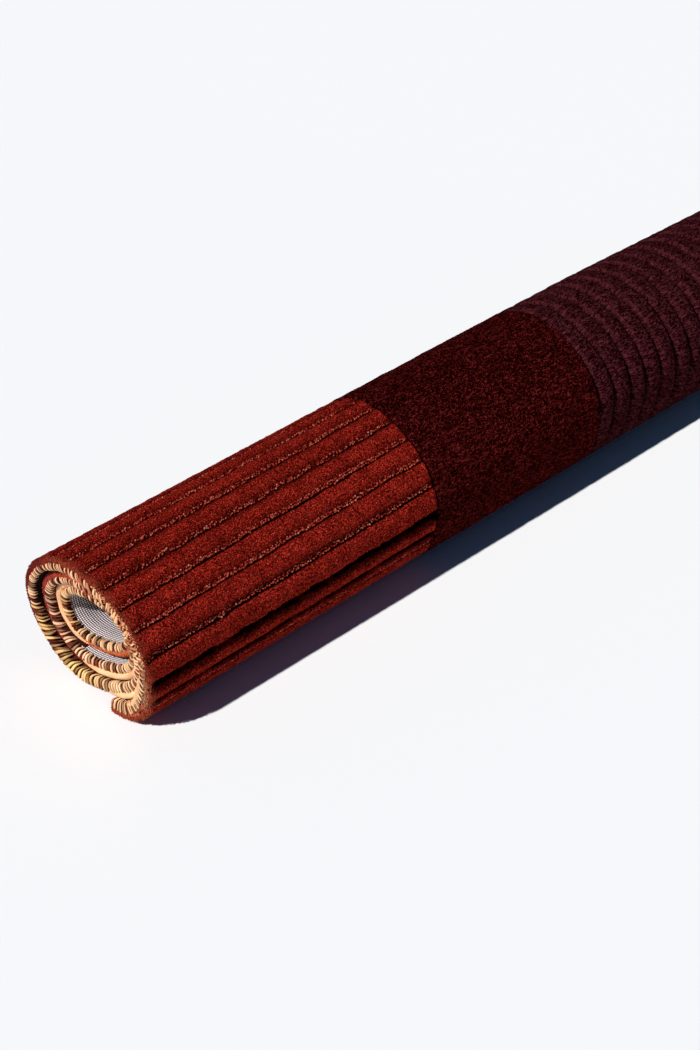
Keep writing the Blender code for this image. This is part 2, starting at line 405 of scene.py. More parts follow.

# grooves by number: how far each is off the even pitch and how much wider it is; the shadowed grooves get
# black painted shadow
rust = {"ribPitch": 0.0225, "firstGroove": 0.0205, "ribCount": 20, "shadowedGrooves": (3, 4),
        "uneven": {1: (-0.008, 1.0), 2: (-0.0075, 1.0), 3: (-0.018, 1.2), 4: (-0.0175, 1.7),
                   5: (-0.0085, 1.2), 6: (-0.0045, 1.0), 7: (-0.0035, 1.0), 8: (-0.003, 1.0),
                   9: (-0.0015, 1.0), 10: (-0.001, 1.0)},
        "pillow": 0.005, "pillowReach": 0.0112, "ledgeHalf": 0.0039, "ledgeDepth": 0.004,
        "ledgeFall": 0.0012, "ledgeShade": 0.48, "underShade": 0.5, "underReach": 0.0095,
        "ragged": 0.1, "shadowedRagged": 0.28, "raggedStep": 0.009,
        "softFrom": 8, "softCut": 0.55, "softShade": 0.72, "softReach": 0.0062, "softTop": 1.25,
        "cutAt": -0.0021, "cutBelow": 0.0009, "cutAbove": 0.0016, "cutLip": 0.0006, "cutDepth": 0.004,
        "cutVary": 0.3, "cutStep": 0.017, "cutShade": 1.4, "wander": 0.001, "wanderStep": 0.018,
        "wanderReach": 0.45, "wanderFade": 0.004, "edgeFade": 0.012, "edgeDepth": 0.3, "edgeShade": 0.4,
        "seamFade": 0.005, "seamDepth": 0.6,
        "tintFrom": (0.06, 0.1, 0.25, 0.32), "tintReach": (0.016, 0.01, 0.01, 0.005), "tintAndPaintedLight": 0.9,
        "tintPower": 1.3, "columns": 255, "ribStep": 0.0023, "heights": [(0.0035, 0.0012), (0.016, 0.0008)],
        "tuft": 0.0017, "grain": 820, "strandScale": (330, 520), "strandThin": 10, "strandShare": 0.35,
        "patch": 60, "bump": 0.0014,
        "tones": [(0.28, (0.036, 0.001, 0.0006)), (0.41, (0.161, 0.0054, 0.0027)),
                  (0.51, (0.39, 0.0172, 0.0088)), (0.63, (0.69, 0.056, 0.029))],
        # depth is the colour of the painted shade in the grooves and cuts
        "strand": (0.5, 0.06, 0.04), "depth": (0.006, 0.0005, 0.0004)}

oxblood = {"heights": [(0.0032, 0.0014), (0.02, 0.0012)],
           "tuft": 0.0016, "grain": 820, "strandScale": (200, 480), "strandThin": 12, "strandShare": 1.0,
           "patch": 40, "bump": 0.0018,
           "tones": [(0.3, (0.003, 0.0001, 0.0001)), (0.46, (0.01, 0.0002, 0.0003)),
                     (0.64, (0.034, 0.0012, 0.0012))],
           # depth is the colour of the painted shade in the seam lines
           "strand": (0.245, 0.022, 0.019), "depth": (0.002, 0.0002, 0.0002)}

plum = {"hoopPitch": 0.024, "grooveHalf": 0.0072, "grooveDepth": 0.0046, "groovePower": 1.8,
        "cutHalf": 0.0017, "cutDepth": 0.007, "cutVary": 0.3, "cutStep": 0.03, "cutShut": 0.15,
        "cutShade": 1.3, "cutFrom": (0.02, 0.055), "cutTo": (0.12, 0.155), "wander": 0.0018,
        "wanderStep": 0.045, "hoopHighlight": 0.5, "highlightAt": 0.0032, "highlightHalf": 0.0018, "highlightMean": 0.45,
        "highlightVary": 0.55, "highlightStep": 0.012, "edgeFade": 0.01,
        "halfColumns": (0.001, 0.0021, 0.0034, 0.0052, 0.008),
        "heights": [(0.0032, 0.001), (0.02, 0.0009)],
        "tuft": 0.0017, "grain": 900, "strandScale": (160, 520), "strandThin": 9, "strandShare": 1.0,
        "patch": 40, "bump": 0.0016,
        "tones": [(0.3, (0.004, 0.0001, 0.0003)), (0.46, (0.013, 0.0005, 0.0009)),
                  (0.64, (0.032, 0.0022, 0.0036))],
        # depth is the colour of the painted shade in the cuts
        "strand": (0.15, 0.03, 0.038), "depth": (0.0015, 0.0002, 0.0004)}

# the inner turns show only at the ends of the roll, so their columns are close together there
inner = {"columnStep": 0.003, "fineTo": 0.03, "coarseColumns": 20, "rowStep": 0.0025, "lastRow": 0.0012,
         "tintAndPaintedLight": 1.6, "tintReach": 0.008, "heights": [(0.004, 0.001)]}

# the colour of the pile at the rug's near edge, by distance from the loose end: lighter tuft ends along the
# cut edge, and painted light where the low front is brightened and the rims of the turns are made more orange
# against their bluish shade
edgeTintsAndLight = [(0.0, (0.62, 0.12, 0.055)), (0.05, (0.8, 0.19, 0.09)), (0.12, (0.25, 0.03, 0.014)),
             (0.17, (0.28, 0.046, 0.022)), (0.25, (0.27, 0.044, 0.024)), (0.31, (0.15, 0.016, 0.014)),
             (0.47, (0.26, 0.034, 0.022)), (0.6, (0.46, 0.09, 0.028)), (0.67, (0.62, 0.1, 0.03)),
             (0.73, (0.36, 0.045, 0.034)), (0.8, (0.34, 0.042, 0.034)), (1.02, (0.6, 0.11, 0.05)),
             (1.1, (0.78, 0.19, 0.06)), (1.2, (0.78, 0.19, 0.07))]


def pileMaterial(name, finish):
    material, tree, shader = newMaterial(name, pile)
    place = addPlace(tree)
    cells = addNode(tree, "TexVoronoi", Vector=place, Scale=1 / finish["tuft"]).outputs["Distance"]
    grain = addNoise(tree, place, finish["grain"], 3)
    patches = addNoise(tree, place, finish["patch"], 2)
    stretch = addNode(tree, "Mapping", Vector=addFlatMap(tree))
    stretch.inputs["Scale"].default_value = (*finish["strandScale"], 1)
    strands = addNoise(tree, stretch.outputs["Vector"], 1.0, 1, pile["strandCurl"])
    # short strands lie where the noise crosses its middle
    ridge = addMath(tree, "ABSOLUTE", addMath(tree, "SUBTRACT", strands, 0.5))
    ridge = addMath(tree, "SUBTRACT", 1.0, times(tree, ridge, finish["strandThin"]), True)
    tone = addShares(tree, grain, pile["grainShare"], cells, pile["cellShare"])
    uneven = addMath(tree, "ADD", times(tree, patches, pile["patchShare"]), pile["lift"])
    colour = addRamp(tree, addMath(tree, "ADD", tone, uneven), finish["tones"])
    lit = times(tree, addMath(tree, "SUBTRACT", grain, pile["litFrom"]), pile["litGain"], True)
    lines = addMath(tree, "ADD", times(tree, lit, pile["strandLit"]), pile["strandBase"])
    lines = times(tree, ridge, times(tree, lines, finish["strandShare"]), True)
    colour = addMix(tree, "MIX", lines, colour, finish["strand"])
    # painted shade: grooves, cuts and seam lines are darkened towards the depth colour
    colour = addMix(tree, "MIX", addAttribute(tree, "carved", "Fac"), colour, finish["depth"])
    # the edge tint is partly lighter tuft ends and partly painted light; on the plum hoops it is a painted
    # highlight
    tintAndPaintedLight = addMath(tree, "ADD", lit, pile["tintBase"])
    tintAndPaintedLight = times(tree, addAttribute(tree, "edge", "Fac"), tintAndPaintedLight, True)
    colour = addMix(tree, "MIX", tintAndPaintedLight, colour, addAttribute(tree, "tint", "Color"))
    feed(tree, shader.inputs["Base Color"], colour)
    height = addShares(tree, grain, pile["grainHeight"], ridge, pile["strandHeight"])
    height = addMath(tree, "SUBTRACT", height, times(tree, cells, pile["cellHeight"]))
    addBump(tree, shader, height, 1.0, finish["bump"])
    return material


def roughen(piece, size, height):
    # tufts stand a little unevenly
    texture = bpy.data.textures.new(piece.name + "Tufts", "CLOUDS")
    texture.noise_scale = size
    texture.noise_depth = 2
    pick([piece])
    uneven = piece.modifiers.new("uneven", "DISPLACE")
    uneven.texture = texture
    uneven.direction = "Z"
    uneven.strength = height
    bpy.ops.object.modifier_apply(modifier=uneven.name)


def closeBelow(piece, stripRows):
    # the sides go down to the canvas, and the underside is closed with strips across the rug
    editMode(piece)
    bpy.ops.mesh.select_mode(type="EDGE")
    bpy.ops.mesh.select_all(action="DESELECT")
    bpy.ops.mesh.select_non_manifold()
    bpy.ops.mesh.extrude_edges_move(TRANSFORM_OT_translate={"value": (0, 0, -0.001)})
    bpy.ops.transform.resize(value=(1, 1, 0), center_override=(0, 0, pile["foot"]))
    objectMode()
    bm = bmesh.new()
    bm.from_mesh(piece.data)
    rim = [vert for vert in bm.verts if vert.is_boundary]
    sides = []
    for across, along in ((0, 1), (1, 0)):
        for edge in (min(vert.co[across] for vert in rim), max(vert.co[across] for vert in rim)):
            side = [vert for vert in rim if abs(vert.co[across] - edge) < 1e-5]
            sides.append(sorted(side, key=lambda vert: vert.co[along]))
    left, right, start, end = sides
    for row in range(0, len(left) - 1, stripRows):
        stop = min(row + stripRows, len(left) - 1)
        corners = left[row:stop + 1]
        if stop == len(left) - 1:
            corners = corners + end[1:-1]
        corners = corners + right[row:stop + 1][::-1]
        if row == 0:
            corners = corners + start[1:-1][::-1]
        bm.faces.new(corners)
    bm.to_mesh(piece.data)
    bm.free()


def finishPile(piece, points, finish, shares, tints, stripRows, material):
    writePoints(piece, points)
    for size, height in finish["heights"]:
        roughen(piece, size, height)
    # the deepest cuts stay above the canvas
    points = readPoints(piece)
    points[:, 2] = np.maximum(points[:, 2], pile["deepest"])
    writePoints(piece, points)
    for name, values in shares.items():
        writeShare(piece, name, values)
    # the edge share mixes in the tint: the edge tint with painted light, or the painted hoop highlight
    if "edge" in shares:
        writeColour(piece, "tint", colourAt(points[:, 1], tints, 1))
    closeBelow(piece, stripRows)
    return finishPiece(piece, material)


def plainRows():
    rows = np.arange(pile["looseRows"][-1], roll["reliefEnd"], pile["rowStep"])
    return np.concatenate([pile["looseRows"][:-1], rows])


def ribGrooves():
    # distance from the loose end and widening of every groove
    grooves = []
    for index in range(rust["ribCount"]):
        by, widened = rust["uneven"].get(index, (0.0, 1.0))
        grooves.append((rust["firstGroove"] + index * rust["ribPitch"] + by, widened))
    return grooves


def grooveWander(x, index):
    return rust["wander"] * wander(x, rust["wanderStep"], 100 + index)


def ribRows():
    # rows lie closer together in the grooves than on the ribs, and closest at the cut
    rows = list(pile["looseRows"])
    lip = rust["cutLip"]
    for s, widened in ribGrooves():
        cut = s + rust["cutAt"] * widened
        low = cut - rust["cutBelow"] * widened - lip
        high = cut + rust["cutAbove"] * widened
        top = s + (rust["ledgeHalf"] + rust["ledgeFall"]) * widened
        start = rows[-1]
        rows.extend(np.linspace(start, low, max(2, round((low - start) / rust["ribStep"])) + 1)[1:])
        rows.extend([low + lip, (low + lip + cut) / 2, cut, (cut + high) / 2, high])
        rows.extend(np.linspace(high, top, 5)[1:])
    rows.extend(np.linspace(rows[-1], roll["reliefEnd"], 10)[1:])
    return np.array(rows)


def edgeDrop(x, s, nearEdge, farEdge):
    # the pile is rounded at the rug's own edges, and more so where it lies on the floor
    deep = np.interp(s, pile["edgeFrom"], pile["edgeDrop"])
    reach = np.interp(s, pile["edgeFrom"], pile["edgeRound"])
    drop = np.zeros(len(x))
    if nearEdge:
        drop = deep * falloff(x - pile["edge"], reach) ** pile["edgePower"]
    if farEdge:
        drop = np.maximum(drop, deep * falloff(roll["length"] - pile["edge"] - x, reach) ** pile["edgePower"])
    return np.maximum(drop, pile["looseDrop"] * falloff(s, pile["looseRound"]) ** 2)


def seamAt(away, s):
    # where two fields meet the pile dips, and low on the front a fine dark line of painted shade marks the
    # seam
    low = ramp(pile["lowSeam"][0] - s, pile["lowSeam"][1])
    dip = (pile["seamDrop"] + pile["lowSeamDrop"] * low) * falloff(away, pile["seamRound"]) ** 2
    return dip, low * falloff(away, pile["seamLine"], 1.3)


def makeRustPile():
    edge = pile["edge"] + np.array(pile["edgeColumns"])
    columns = np.concatenate([edge[:-1], np.linspace(edge[-1], roll["rustEnd"], rust["columns"])])
    piece, points, x, s = flatGrid("rustPile", columns, ribRows())
    carved, ribs, aside = np.zeros((3, len(x)))
    fade = ramp(x - pile["edge"], rust["edgeFade"])
    fadeDepth = atLeast(rust["edgeDepth"], fade)
    seamDepth = atLeast(rust["seamDepth"], ramp(roll["rustEnd"] - x, rust["seamFade"]))
    for index, (groove, widened) in enumerate(ribGrooves()):
        shadowed = index in rust["shadowedGrooves"]
        away = np.abs(s - groove)
        pillow = rust["pillow"] * falloff(away, rust["pillowReach"]) ** 2
        ragged = rust["shadowedRagged"] if shadowed else rust["ragged"]
        ragged = 1 + ragged * wander(x, rust["raggedStep"], 500 + index)
        # painted shade lies on the ledge of each groove, in the cut and on the rib just past it; the shadowed
        # grooves are painted black across the whole ledge
        channel = ramp(rust["ledgeHalf"] * widened * ragged - away, rust["ledgeFall"])
        under = rust["underShade"] * falloff(s - groove, rust["underReach"]) * (s > groove)
        across = s - groove - rust["cutAt"] * widened
        half = np.where(across < 0, rust["cutBelow"], rust["cutAbove"]) * widened
        deep = (1 - rust["cutVary"]) + rust["cutVary"] * wander(x, rust["cutStep"], 200 + index)
        cut = falloff(np.abs(across), half) * deep
        shade = channel if shadowed else rust["ledgeShade"] * channel
        if index >= rust["softFrom"]:
            # on top of the roll the grooves are soft valleys of painted shade
            cut = cut * rust["softCut"]
            shade = rust["softShade"] * falloff(away, rust["softReach"], rust["softTop"])
        depth = np.maximum(pillow, rust["ledgeDepth"] * widened * channel) + rust["cutDepth"] * widened * cut
        ribs = np.maximum(ribs, depth * fadeDepth * seamDepth)
        shade = np.clip(np.maximum(cut * rust["cutShade"], np.maximum(shade, under)), 0, 1)
        carved = np.maximum(carved, shade * atLeast(rust["edgeShade"], fade))
        aside += grooveWander(x, index) * falloff(away, rust["wanderReach"] * rust["ribPitch"])
    dip, line = seamAt(roll["rustEnd"] - x, s)
    points[:, 2] = roll["halfThickness"] - np.maximum(np.maximum(edgeDrop(x, s, True, False), ribs), dip)
    aside = aside * ramp(roll["reliefEnd"] - s, rust["wanderFade"])
    points[:, 1] = np.where(s > pile["looseRows"][-1], s + aside, s)
    # the edge tint near the cut edge: lighter tuft ends with painted light, wider and brighter on the low
    # front
    reach = np.interp(s, rust["tintFrom"], rust["tintReach"])
    tintAndPaintedLight = rust["tintAndPaintedLight"] * falloff(x - pile["edge"], reach) ** rust["tintPower"]
    shares = {"carved": np.maximum(carved, line), "edge": tintAndPaintedLight}
    return finishPile(piece, points, rust, shares, edgeTintsAndLight, 4, pileMaterial("rustPile", rust))


def makeOxbloodPile():
    start, end = roll["rustEnd"], roll["hoopStart"]
    columns = np.linspace(start, end, round((end - start) / pile["columnStep"]) + 1)
    piece, points, x, s = flatGrid("oxbloodPile", columns, plainRows())
    nearDip, nearLine = seamAt(x - start, s)
    farDip, farLine = seamAt(end - x, s)
    drop = np.maximum(edgeDrop(x, s, False, False), np.maximum(nearDip, farDip))
    points[:, 2] = roll["halfThickness"] - drop
    shares = {"carved": np.maximum(nearLine, farLine)}
    return finishPile(piece, points, oxblood, shares, edgeTintsAndLight, 4, pileMaterial("oxbloodPile", oxblood))


def makePlumPile():
    hoops = int((roll["length"] - roll["hoopStart"]) / plum["hoopPitch"]) + 1
    grooves = [roll["hoopStart"] + index * plum["hoopPitch"] for index in range(hoops)]
    beside = np.array(plum["halfColumns"])
    columns = [roll["hoopStart"]]
    for groove in grooves[1:]:
        before = groove - plum["hoopPitch"]
        columns.extend([*(before + beside), before + plum["hoopPitch"] / 2, *(groove - beside[::-1]), groove])
    end = roll["length"] - pile["edge"]
    edge = end - np.array(pile["edgeColumns"])[::-1]
    columns = [x for x in columns if x < edge[0] - 0.0003]
    columns = np.concatenate([columns, np.linspace(columns[-1], edge[0], 4)[1:], edge[1:]])
    piece, points, x, s = flatGrid("plumPile", columns, plainRows())
    drop = edgeDrop(x, s, False, True)
    carved, hoopHighlight, aside = np.zeros((3, len(x)))
    # the cuts are open on the front, where the roll is not pressed and not stretched
    (shut, opening), (closing, closed) = plum["cutFrom"], plum["cutTo"]
    opened = ramp(s - shut, opening - shut) * ramp(closed - s, closed - closing)
    for index, groove in enumerate(grooves):
        away = np.abs(x - groove)
        cut = falloff(away, plum["cutHalf"])
        vary = (1 - plum["cutVary"]) + plum["cutVary"] * wander(s, plum["cutStep"], 400 + index)
        deep = vary * atLeast(plum["cutShut"], opened)
        valley = plum["grooveDepth"] * falloff(away, plum["grooveHalf"]) ** plum["groovePower"]
        drop = np.maximum(drop, valley + plum["cutDepth"] * cut * deep)
        # painted shade darkens the cuts
        carved = np.maximum(carved, np.clip(plum["cutShade"] * cut * deep, 0, 1))
        # painted highlight: a broken light line along the lit side of each hoop, left out where the cuts are
        # open
        broken = plum["highlightMean"] + plum["highlightVary"] * wander(s, plum["highlightStep"], 450 + index)
        lit = falloff(np.abs(x - groove - plum["highlightAt"]), plum["highlightHalf"])
        hoopHighlight = np.maximum(hoopHighlight, plum["hoopHighlight"] * np.clip(broken, 0, 1) * lit * (1 - opened))
        if index > 0:
            shift = plum["wander"] * wander(s, plum["wanderStep"], 300 + index)
            aside += shift * falloff(away, plum["hoopPitch"] / 2)
    points[:, 2] = roll["halfThickness"] - drop
    points[:, 0] = x + aside * ramp(end - x, plum["edgeFade"])
    # the painted hoop highlight takes the strand colour
    tints = [(0.0, plum["strand"])]
    shares = {"carved": carved, "edge": hoopHighlight}
    return finishPile(piece, points, plum, shares, tints, 4, pileMaterial("plumPile", plum))


def makeInnerPile(name, fromX, toX, material):
    step = inner["columnStep"]
    edge = np.array(pile["edgeColumns"])
    nearEnd, farEnd = fromX < 0, toX > roll["length"]
    columns = np.linspace(fromX, toX, 3)
    if nearEnd:
        coarse = np.linspace(inner["fineTo"] + step, toX, inner["coarseColumns"])
        columns = np.concatenate([fromX + edge, np.arange(fromX + step, inner["fineTo"], step), coarse])
    if farEnd:
        fineFrom = roll["length"] - inner["fineTo"]
        coarse = np.linspace(fromX, fineFrom - step, inner["coarseColumns"])
        columns = np.concatenate([coarse, np.arange(fineFrom, toX - step, step), toX - edge[::-1]])
    last = roll["rugLength"]
    rows = np.arange(roll["reliefEnd"], last - 0.002, inner["rowStep"])
    rows = np.append(rows, [last - inner["lastRow"], last])
    piece, points, x, s = flatGrid(name, columns, rows)
    rounding = pile["looseDrop"] * falloff(last - s, pile["looseRound"]) ** 2
    points[:, 2] = roll["halfThickness"] - np.maximum(edgeDrop(x, s, nearEnd, farEnd), rounding)
    # the edge tint at the near end of the inner turns: lighter tuft ends with painted light
    shares = {"edge": inner["tintAndPaintedLight"] * falloff(x - fromX, inner["tintReach"]) * nearEnd}
    return finishPile(piece, points, inner, shares, edgeTintsAndLight, 3, material)


# the overcast yarn on both ends

yarn = {"sides": 6, "steps": 12, "middleX": 0.0004, "middleN": -0.0022, "halfWidth": 0.0027, "thick": 0.0014,
        "from": 0.002, "stopShort": 0.0015, "turnShare": 0.72, "arriveAngle": 100, "turnAngle": 190,
        "tip": 0.12, "belly": 0.95, "clump": (2, 5), "clumpPull": 0.45, "unevenPlace": 0.0005,
        "unevenThick": 0.14, "unevenLean": 0.0008, "unevenShade": 0.16, "darker": 0.32, "sideShade": 0.08,
        "looseFrom": (0.03, 0.06, 0.22, 0.28), "loose": (1, 3, 3, 1), "looseThick": 0.05,
        "looseReach": (-0.0006, 0.0007), "looseWidth": (-0.0003, 0.0004), "sizes": (0.6, 1.45),
        "shades": (0.6, 1.15), "bulge": (0.5, 0.9), "bellyPower": 0.75, "dip": 0.0005,
        "dyed": 0.3, "dyeSwing": 0.9, "dyeWaves": 5, "sideGain": 1.7,
        "roughness": 0.9, "gloss": 0.06, "bump": 0.0003, "bumpStrength": 0.6,
        "fibre": 1400, "fibreShare": 0.6, "fibreTones": [(0.3, (0.64, 0.46, 0.28)), (0.6, (1.0, 1.0, 0.98))],
        "pitchFrom": (0.0, 0.1, 0.13, 0.38, 0.43, 0.6, 0.64, 0.78, 0.83, 1.09, 1.12),
        "pitch": (0.0049, 0.0049, 0.0043, 0.0041, 0.0047, 0.0047, 0.0041, 0.0041, 0.0049, 0.0049, 0.0041)}

# rows are distance from the loose end, reach out over the pile, reach up the canvas side, run in over the
# canvas, lean of the outer end along the edge, half width, light yarn, dark yarn, share of dark wraps
zones = [
    (0.0, -0.0034, 0.008, 0.0085, 0.001, 0.0016, (0.96, 0.56, 0.31), (0.3, 0.07, 0.03), 0.15),
    (0.018, -0.006, 0.0108, 0.01, 0.001, 0.0015, (0.96, 0.56, 0.31), (0.3, 0.07, 0.03), 0.15),
    (0.046, -0.0082, 0.012, 0.0085, 0.0, 0.0013, (0.98, 0.6, 0.34), (0.34, 0.1, 0.04), 0.2),
    (0.072, -0.0036, 0.008, 0.005, -0.006, 0.0011, (0.98, 0.62, 0.36), (0.4, 0.1, 0.05), 0.3),
    (0.12, 0.0006, 0.0044, 0.005, -0.0055, 0.0011, (0.98, 0.6, 0.32), (0.42, 0.1, 0.045), 0.3),
    (0.14, 0.0018, 0.004, 0.004, 0.005, 0.002, (0.98, 0.58, 0.28), (0.5, 0.12, 0.045), 0.3),
    (0.2, 0.0018, 0.0036, 0.0045, 0.0112, 0.0021, (0.98, 0.54, 0.28), (0.42, 0.08, 0.04), 0.35),
    (0.25, 0.0012, 0.0044, 0.0065, 0.0045, 0.0012, (0.98, 0.5, 0.28), (0.18, 0.03, 0.02), 0.36),
    (0.28, -0.0006, 0.0044, 0.007, 0.0, 0.001, (0.98, 0.55, 0.31), (0.1, 0.014, 0.01), 0.36),
    (0.31, -0.0022, 0.0044, 0.007, -0.0034, 0.001, (0.98, 0.56, 0.33), (0.1, 0.012, 0.009), 0.36),
    (0.345, -0.003, 0.0044, 0.007, -0.0054, 0.0012, (0.98, 0.57, 0.32), (0.1, 0.012, 0.009), 0.38),
    (0.375, -0.0012, 0.006, 0.0075, -0.008, 0.0017, (1.0, 0.6, 0.22), (0.14, 0.03, 0.01), 0.34),
    (0.4, 0.0006, 0.0076, 0.0075, -0.01, 0.002, (0.98, 0.58, 0.28), (0.07, 0.012, 0.008), 0.44),
    (0.435, 0.0016, 0.0078, 0.0065, -0.0095, 0.002, (1.0, 0.62, 0.23), (0.14, 0.035, 0.014), 0.3),
    (0.46, 0.0022, 0.0064, 0.0065, -0.005, 0.0018, (1.0, 0.64, 0.27), (0.22, 0.07, 0.02), 0.18),
    (0.49, 0.0028, 0.0054, 0.006, 0.0, 0.0015, (0.98, 0.62, 0.34), (0.26, 0.09, 0.03), 0.15),
    (0.56, 0.0022, 0.005, 0.0056, 0.001, 0.0013, (0.98, 0.64, 0.38), (0.34, 0.1, 0.04), 0.2),
    (0.62, 0.003, 0.0044, 0.006, 0.003, 0.0013, (0.9, 0.46, 0.3), (0.34, 0.06, 0.04), 0.35),
    (0.67, 0.0012, 0.0044, 0.008, 0.001, 0.0011, (0.92, 0.48, 0.3), (0.24, 0.04, 0.03), 0.38),
    (0.71, -0.0012, 0.0044, 0.007, -0.0035, 0.0011, (0.98, 0.56, 0.33), (0.12, 0.022, 0.015), 0.34),
    (0.76, -0.0016, 0.0052, 0.007, -0.006, 0.0014, (0.98, 0.6, 0.38), (0.1, 0.018, 0.014), 0.38),
    (0.81, -0.0004, 0.0056, 0.0055, -0.0055, 0.0015, (0.94, 0.56, 0.33), (0.14, 0.035, 0.015), 0.34),
    (0.86, 0.0008, 0.0044, 0.0036, 0.0012, 0.0013, (0.96, 0.6, 0.34), (0.24, 0.07, 0.025), 0.28),
    (0.93, 0.001, 0.0044, 0.004, 0.0008, 0.0013, (0.98, 0.62, 0.35), (0.3, 0.09, 0.03), 0.28),
    (1.03, 0.0006, 0.0044, 0.007, 0.0, 0.0013, (0.96, 0.6, 0.32), (0.28, 0.09, 0.03), 0.3),
    (1.09, -0.001, 0.0044, 0.006, -0.0055, 0.0015, (0.98, 0.62, 0.3), (0.08, 0.016, 0.006), 0.46),
    (1.125, -0.0006, 0.0044, 0.007, 0.0, 0.0015, (0.98, 0.6, 0.32), (0.07, 0.016, 0.008), 0.5),
    (1.2, -0.0006, 0.0044, 0.007, 0.0, 0.0014, (0.94, 0.52, 0.29), (0.06, 0.012, 0.008), 0.48),
]

# a dark core under the wraps, which shows between them: partly darker yarn, partly painted shade in the gaps;
# runs are from, to and place across the layer
core = {"sides": 8, "step": 0.004, "middleX": 0.001, "halfWidth": 0.0022, "halfHeight": 0.0038,
        "taper": 0.004, "fall": 0.0, "shades": [(0.0, (0.035, 0.012, 0.006))],
        "runs": [(0.0015, 1.1985, -0.0024)]}

# a dark sheet laid flat over the canvas where the turns lie close: painted shadow, black at first and dark
# maroon further in
shadowSheet = {"sides": 8, "step": 0.004, "middleX": 0.007, "halfWidth": 0.0075, "halfHeight": 0.0007,
          "taper": 0.02, "fall": 0.0, "runs": [(0.235, 0.828, -0.007)],
          "shades": [(0.36, (0.014, 0.006, 0.005)), (0.43, (0.11, 0.02, 0.014)),
                     (0.6, (0.05, 0.012, 0.009))]}

# the smooth outer half of the overcasting on the inner turns
band = {"sides": 10, "step": 0.003, "middleX": -0.0002, "halfWidth": 0.0032, "halfHeight": 0.004,
        "taper": 0.03, "fall": 0.003, "shades": [(0.0, (0.93, 0.52, 0.28))],
        "runs": [(0.48, 0.58, 0.0042), (0.824, 1.135, 0.0042), (0.03, 0.092, -0.01)]}


def yarnMaterial():
    material, tree, shader = newMaterial("overcastYarn", yarn)
    fibre = addNoise(tree, addPlace(tree), yarn["fibre"], 3)
    shaded = addRamp(tree, fibre, yarn["fibreTones"])
    # the dyed colour holds the yarn's dye and painted shade
    colour = addMix(tree, "MULTIPLY", yarn["fibreShare"], addAttribute(tree, "dyed", "Color"), shaded)
    feed(tree, shader.inputs["Base Color"], colour)
    addBump(tree, shader, fibre, yarn["bumpStrength"], yarn["bump"])
    return material


def makeStrand(sides, steps):
    # one strand, upright and straight: its length is the z from -1 to 1
    pick([])
    bpy.ops.mesh.primitive_cylinder_add(vertices=sides, radius=1, depth=2, end_fill_type="NGON")
    strand = bpy.context.object
    editMode(strand)
    bpy.ops.mesh.select_mode(type="EDGE")
    bpy.ops.mesh.select_all(action="DESELECT")
    objectMode()
    # only the edges that run its length are divided
    for edge in strand.data.edges:
        bottom, top = (strand.data.vertices[index].co.z for index in edge.vertices)
        edge.select = abs(bottom - top) > 0.5
    bpy.ops.object.mode_set(mode="EDIT")
    bpy.ops.mesh.subdivide(number_cuts=steps - 1)
    objectMode()
    return takeShape()


def joinCopies(name, copies, faces, colours):
    # every copy has its own points, and all are one mesh
    count = len(copies[0])
    allFaces = [[index + copy * count for index in face] for copy in range(len(copies)) for face in faces]
    mesh = bpy.data.meshes.new(name)
    mesh.from_pydata(np.concatenate(copies).tolist(), [], allFaces)
    piece = bpy.data.objects.new(name, mesh)
    bpy.context.scene.collection.objects.link(piece)
    editMode(piece)
    bpy.ops.mesh.select_all(action="SELECT")
    bpy.ops.mesh.normals_make_consistent(inside=False)
    objectMode()
    # the dyed colours are the yarn's own colours together with painted shade: darker strand sides, tuft feet
    # and bead undersides, and the dark core and shadow sheet
    writeColour(piece, "dyed", np.clip(np.concatenate(colours), 0, 1))
    return piece


def joinPieces(name, pieces):
    pick(pieces)
    bpy.context.view_layer.objects.active = pieces[0]
    bpy.ops.object.join()
    bpy.context.object.name = name
    return bpy.context.object


def layTube(run, shape, farEnd):
    # a smooth length of yarn along the rug's edge
    start, end, middleN = run
    master, faces = makeStrand(shape["sides"], round((end - start) / shape["step"]))
    s = start + (end - start) * (master[:, 2] + 1) / 2
    slim = np.clip(np.minimum(s - start, end - s) / shape["taper"], 0.15, 1) ** 0.6
    angle = np.arctan2(master[:, 1], master[:, 0])
    x = shape["middleX"] - shape["halfWidth"] * slim * np.cos(angle) + 0.0004 * wander(s, 0.011, 52)
    n = middleN + shape["halfHeight"] * slim * np.sin(angle) - shape["fall"] * (1 - slim)
    if farEnd:
        x = roll["length"] - x
    streaks = (1 + 0.12 * wander(s, 0.007, 50) + 0.22 * wander(angle + s * 60, 0.7, 51))[:, None]
    shade = colourAt(s, shape["shades"], 1) * streaks
    return joinCopies("tube", [np.stack([x, s, n], axis=1)], faces, [shade])


